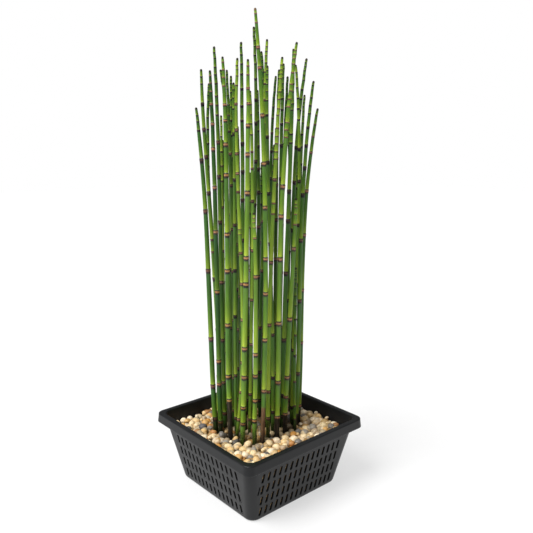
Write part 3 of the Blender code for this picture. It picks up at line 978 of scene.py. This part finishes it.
def make_stem(name, number, tree, finish):
    """One stem in its solid's place; returns its bend and its radius at the foot."""
    dice = np.random.default_rng(STEM_SEED + number)
    middles, radii = ring_middles(frame["nodes"][name])
    heights = middles[:, 2] / MM
    foot, tip = heights[0], heights[-1]
    across = [np.polyfit(heights, middles[:, i] / MM, BEND_DEGREE) for i in (0, 1)]
    young, deep, ring_tone = (dice.uniform(*span) for span in OTHER_LOOKS)
    young, deep, withered_to, bark, ring_tone, joints = STEM_LOOKS.get(
        number, (young, deep, 0, 0, ring_tone, ())
    )
    joints = list(joints or usual_joints(tip, dice))
    # the joints crowd together below the tip
    while joints[-1] < tip - 2 * CROWDED:
        step = max((tip - joints[-1]) * CROWDING, CROWDED)
        joints.append(joints[-1] + step * dice.uniform(*CROWDING_SPREAD))
    joints = np.array(joints, dtype=float)
    joints = joints[(joints > foot + JOINT_MARGIN) & (joints < tip - JOINT_MARGIN)]
    soiled_to = GROUND + dice.choice(FOOT_STAINS)
    ends = np.array([foot - BELOW_FOOT, *joints, tip + ABOVE_TIP])
    gaps = np.diff(ends)
    stoutness = np.clip(2 * radii[0] / MM / FULL_THICKNESS, *THICKNESS_SHARES)
    scales = np.clip(np.minimum(gaps[:-1], gaps[1:]) / FULL_LENGTH, *LENGTH_SHARES) * stoutness
    # higher joints have darker rings
    rise = np.clip((joints - foot) / (tip - foot), 0.0, 1.0)
    uneven = dice.uniform(-TONE_SPREAD, TONE_SPREAD, len(joints))
    tones = np.clip(ring_tone + uneven + TONE_RISE * rise ** 3, 0.0, 1.0)
    sway = np.array([(0, 0), *dice.normal(0.0, SWAY, (len(joints), 2)), (0, 0)])
    sway_heights = (foot, *joints, tip)

    stations = stem_stations(foot, tip, joints, scales)
    which = np.searchsorted(joints, stations)
    low, high = ends[which], ends[which + 1]
    end_scales = np.array([1.0, *scales, 1.0])
    end_tones = np.array([tones[0], *tones, tones[-1]])
    up = (stations - low) / end_scales[which]
    down = (high - stations) / end_scales[which + 1]
    up[which == 0] = OUT_OF_REACH
    down[which == len(joints)] = OUT_OF_REACH
    nearer_low = up < down
    points = np.stack(
        [np.polyval(across[i], stations) + np.interp(stations, sway_heights, sway[:, i]) for i in (0, 1)]
        + [stations], axis=1,
    ) * MM
    width = np.interp(stations, heights, radii)
    shortest = np.where(nearer_low, up, -down)
    proud = np.interp(shortest, [away for away, _ in SHEATH], [out for _, out in SHEATH])
    width += proud * MM * np.where(nearer_low, end_scales[which], end_scales[which + 1])
    to_end = np.clip((tip - stations) / TIP_ROUND, 0.0, 1.0)
    rounded = radii[-2] * np.sqrt(np.maximum(1.0 - (1.0 - to_end) ** 2, TIP_BLUNTNESS))
    width = np.where(to_end < 1.0, rounded, width)
    stain_edges = [GROUND, soiled_to] + [soiled_to + above for above in STAIN_FADE]
    soiled = np.interp(stations, stain_edges, STAIN_STRENGTHS)
    dry = np.interp(stations, [tip - below for below in DRY_TIP], [0.0, DRY_TIP_STRENGTH])
    if withered_to:
        foot_edge = [withered_to + away for away in WITHERED_EDGE]
        dry = np.maximum(dry, np.interp(stations, foot_edge, [1.0, 0.0]))
    guide = path_mesh(
        name + "_line", points, True,
        width=width, part=(stations - low) / (high - low), up=up, down=down,
        tone=np.where(nearer_low, end_tones[which], end_tones[which + 1]),
        dry=dry, bark=bark + 0 * stations, young=young + 0 * stations, deep=deep + 0 * stations,
        soiled=soiled, along=stations + STREAK_SHIFT * number,
    )
    mesh = grown_mesh(name + "_grown", tree, {"Sides": STEM_SIDES, "Material": finish}, guide)
    place_piece(new_object(name + "_grown", mesh), name)
    return across, radii[0]


def pebble_shape(number, dice):
    """One worn stone of width one, from a divided ball pressed out of round."""
    bm = bmesh.new()
    bmesh.ops.create_icosphere(bm, subdivisions=2, radius=0.5)
    squash = Vector((1.0, dice.uniform(*PEBBLE_SECOND), dice.uniform(*PEBBLE_THIRD)))
    for v in bm.verts:
        dent = noise.noise(v.co * PEBBLE_DENT_SCALE + Vector((number * PEBBLE_DENT_SHIFT, 0, 0)))
        v.co = v.co * (1.0 + PEBBLE_DENT * dent)
        v.co = Vector((v.co.x * squash.x, v.co.y * squash.y, v.co.z * squash.z))
    mesh = built_mesh(bm, f"pebble_{number}")
    mesh.shade_smooth()
    return mesh


def pebble_tree():
    """A stone of one of several shapes on every point, turned and sized by the point."""
    tree, start = new_tree("pebbles_on_points", Collection=["Stones"])
    stones = add_node(
        tree, "GeometryNodeCollectionInfo",
        {"Collection": start.outputs["Stones"], "Separate Children": True, "Reset Children": True},
    )
    turn, size, shape = (
        add_node(tree, "GeometryNodeInputNamedAttribute", {"Name": name}, data_type=kind, out="Attribute")
        for name, kind in (("turn", "FLOAT_VECTOR"), ("size", "FLOAT"), ("shape", "FLOAT"))
    )
    whole = add_node(tree, "FunctionNodeFloatToInt", {0: shape}, rounding_mode="ROUND")
    placed = add_node(
        tree, "GeometryNodeInstanceOnPoints",
        {
            "Points": start.outputs["Geometry"], "Instance": stones.outputs["Instances"],
            "Pick Instance": True, "Instance Index": whole.outputs[0], "Rotation": turn, "Scale": size,
        },
    )
    end_tree(tree, start, placed.outputs["Instances"])
    return tree


def gravel_height(x, y):
    """Height of the stones' surface at a place, in the waves of the gravel solid."""
    total = 0.0
    for spacing, direction, start in MOUND_WAVES:
        turn = math.radians(direction)
        along = x * math.cos(turn) + y * math.sin(turn)
        total += math.sin(2 * math.pi * along / (spacing * MM) + math.radians(start))
    return GRAVEL_TOP - MOUND_DEPTH * 0.5 * (1 - total / len(MOUND_WAVES))


def stem_spots(stems, height):
    """Places of the stems' middles at a height in mm."""
    return np.array([[np.polyval(across[i], height) * MM for i in (0, 1)] for across, _ in stems])


def scatter_pebbles(stems):
    """Places, widths and top heights of the stones in three layers, clear of the stems and the wall."""
    dice = np.random.default_rng(PEBBLE_SEED)
    spots = stem_spots(stems, AMONG_STONES)
    radii = np.array([radius for _, radius in stems])
    placed = []
    # each layer's cleanness darkens its stones, as dirt and as painted shade in the gaps between the top
    # stones
    for lowest, highest, closeness, throws, clean in PEBBLE_LAYERS:
        layer = np.zeros((0, 3))
        for throw in range(throws):
            finer = PEBBLE_FINER * (throw / throws) ** PEBBLE_FINER_POWER
            width = (PEBBLE_WIDEST - finer + dice.uniform(*PEBBLE_UNEVEN)) * MM
            reach = inner_width(GRAVEL_TOP + highest - width / 2) / 2 - width * 0.5 - PEBBLE_CLEARANCE
            x, y = dice.uniform(-reach, reach, 2)
            to_stems = np.hypot(spots[:, 0] - x, spots[:, 1] - y)
            to_stones = np.hypot(layer[:, 0] - x, layer[:, 1] - y)
            if np.any(to_stems < radii + width * PEBBLE_STEM_SHARE):
                continue
            if np.any(to_stones < closeness * (layer[:, 2] + width)):
                continue
            layer = np.vstack([layer, (x, y, width)])
            placed.append((x, y, width, gravel_height(x, y) + dice.uniform(lowest, highest), clean))
    return placed, dice


def make_gravel(stems, finish):
    """All the stones as one piece, darker where the stems crowd round them, as soil and painted shade."""
    placed, dice = scatter_pebbles(stems)
    stones = bpy.data.collections.new("stones")
    bpy.context.scene.collection.children.link(stones)
    shapes = []
    for number in range(PEBBLE_SHAPES):
        mesh = pebble_shape(number, dice)
        thing = bpy.data.objects.new(f"pebble_{number}", mesh)
        stones.objects.link(thing)
        shapes.append(np.array([tuple(v.co) for v in mesh.vertices]))
    spots = stem_spots(stems, OVER_STONES)
    rows = []
    for x, y, width, top, clean in placed:
        pick = int(dice.integers(PEBBLE_SHAPES))
        tilts = dice.normal(0, PEBBLE_TILT), dice.normal(0, PEBBLE_TILT)
        turn = Euler((*tilts, dice.uniform(0, 2 * math.pi)))
        tall = (shapes[pick] @ np.array(turn.to_matrix()).T)[:, 2].max() * width
        tone = dice.uniform(0.0, LAST_TONE)
        near = np.sum(np.hypot(spots[:, 0] - x, spots[:, 1] - y) < CLUMP_REACH)
        # soil and painted shade darken the stones that the stems crowd round
        clean *= np.interp(near, CLUMP_CROWD, (1.0, CLEAN_UNSHADED_LEFT))
        rows.append(((x, y, max(top - tall, GRAVEL_BOTTOM + tall)), turn, width, pick, tone, clean))
    places, turns, widths, picks, tones, clean_unshaded_shares = zip(*rows)
    guide = path_mesh(
        "pebble_places", places, False, turn=turns, size=widths, shape=picks, tone=tones, clean=clean_unshaded_shares
    )
    mesh = grown_mesh("gravel_pebbles", pebble_tree(), {"Stones": stones, "Material": finish}, guide)
    for thing in list(stones.objects):
        bpy.data.objects.remove(thing)
    bpy.data.collections.remove(stones)
    place_piece(new_object("gravel_pebbles", mesh), "gravel")


def make_camera():
    data = bpy.data.cameras.new("view")
    data.lens = LENS
    data.sensor_width = SENSOR
    camera = new_object("view", data)
    camera.location = CAMERA_PLACE
    camera.rotation_euler = (math.pi / 2 - CAMERA_DIP, 0.0, -CAMERA_TURN)
    bpy.context.scene.camera = camera


def make_lights():
    world = bpy.data.worlds.new("studio")
    world.use_nodes = True
    # white paper all round as a backdrop, whatever the side, in a room that itself gives less light
    tree = world.node_tree
    seen = add_node(tree, "ShaderNodeLightPath", out="Is Camera Ray")
    strength = add_node(
        tree, "ShaderNodeMapRange",
        {"Value": seen, "To Min": ROOM_STRENGTH, "To Max": BACKDROP_STRENGTH}, out="Result",
    )
    backdrop = tree.nodes["Background"]
    backdrop.inputs["Color"].default_value = (1.0, 1.0, 1.0, 1.0)
    tree.links.new(strength, backdrop.inputs["Strength"])
    bpy.context.scene.world = world
    bpy.context.scene.view_settings.view_transform = "Standard"
    # soft suns, one from the front left and a wider one overhead, which light the whole floor alike
    for name, (power, spread, side, height) in SOFT_LIGHTS.items():
        around = -math.pi / 2 - CAMERA_TURN - math.radians(side)
        steep = math.radians(height)
        level = math.cos(steep)
        direction = Vector((math.cos(around) * level, math.sin(around) * level, math.sin(steep)))
        data = bpy.data.lights.new(name, "SUN")
        data.angle = math.radians(spread)
        data.energy = power
        light = new_object(name, data)
        light.location = direction
        light.rotation_euler = direction.to_track_quat("Z", "Y").to_euler()


def make_floor():
    bm = bmesh.new()
    bmesh.ops.create_grid(bm, x_segments=1, y_segments=1, size=FLOOR_SPAN / 2)
    new_object("floor", built_mesh(bm, "floor"), make_studio_white())


make_camera()
make_lights()
make_floor()

make_basket(make_moulded_plastic())
dress(frame["nodes"]["planting_mix"].data, make_soil())

stem_skin = make_stem_skin()
follow_line = stem_tree()
stem_names = sorted(name for name in frame["nodes"] if name.startswith("stem_"))
grown = [make_stem(name, int(name[-2:]), follow_line, stem_skin) for name in stem_names]
make_gravel(grown, make_pebble_stone())
